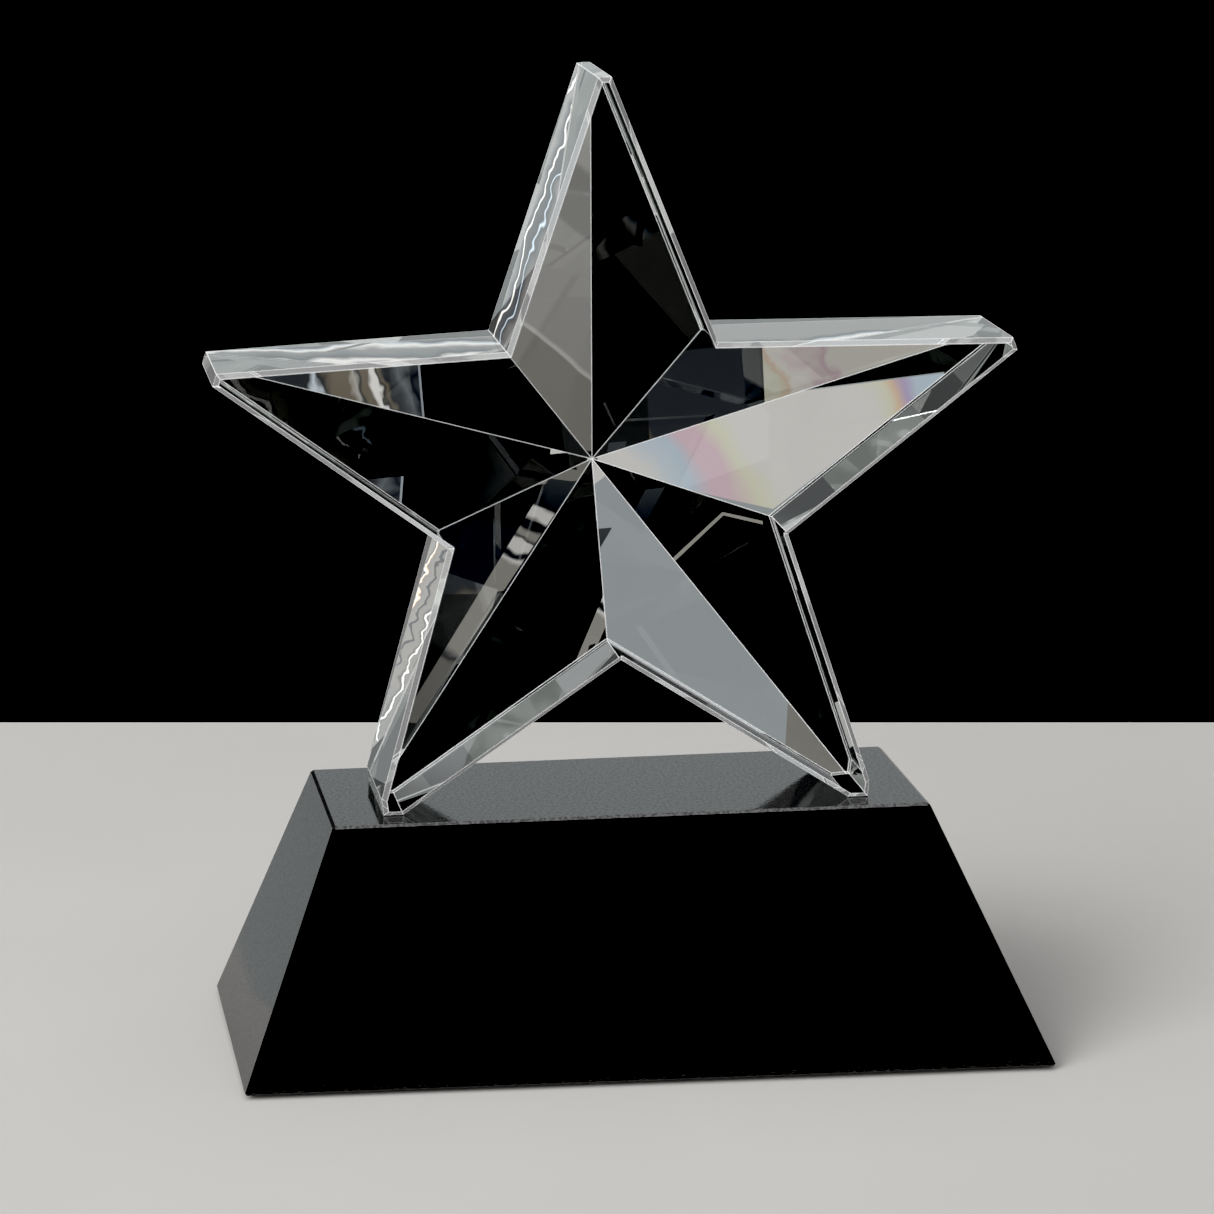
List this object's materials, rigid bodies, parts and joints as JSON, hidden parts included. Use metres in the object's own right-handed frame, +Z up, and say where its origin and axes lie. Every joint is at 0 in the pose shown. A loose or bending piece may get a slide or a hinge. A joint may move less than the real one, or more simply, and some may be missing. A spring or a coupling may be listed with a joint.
{
  "type": "crystal award",
  "caption": "Free-standing award: clear five-pointed crystal star, flat in front and faceted behind, glued by two points to a black crystal block that widens downward.",
  "frame": {"origin": "on the table plane, under the middle of the block", "axes": "+Z up; -Y is the front, where the star's flat face looks; +Y is the star's faceted back; +X is the viewer's right"},
  "size_m": [0.1716, 0.0608, 0.2157],
  "materials": {
    "clear_crystal": "polished",
    "black_crystal": "polished",
    "clear_adhesive": "clear",
    "black_felt": "felt"
  },
  "bodies": {
    "root": {"crystal_star": "clear_crystal", "crystal_base": "black_crystal", "bond_left": "clear_adhesive", "bond_right": "clear_adhesive", "base_pad": "black_felt"}
  },
  "joints": []
}
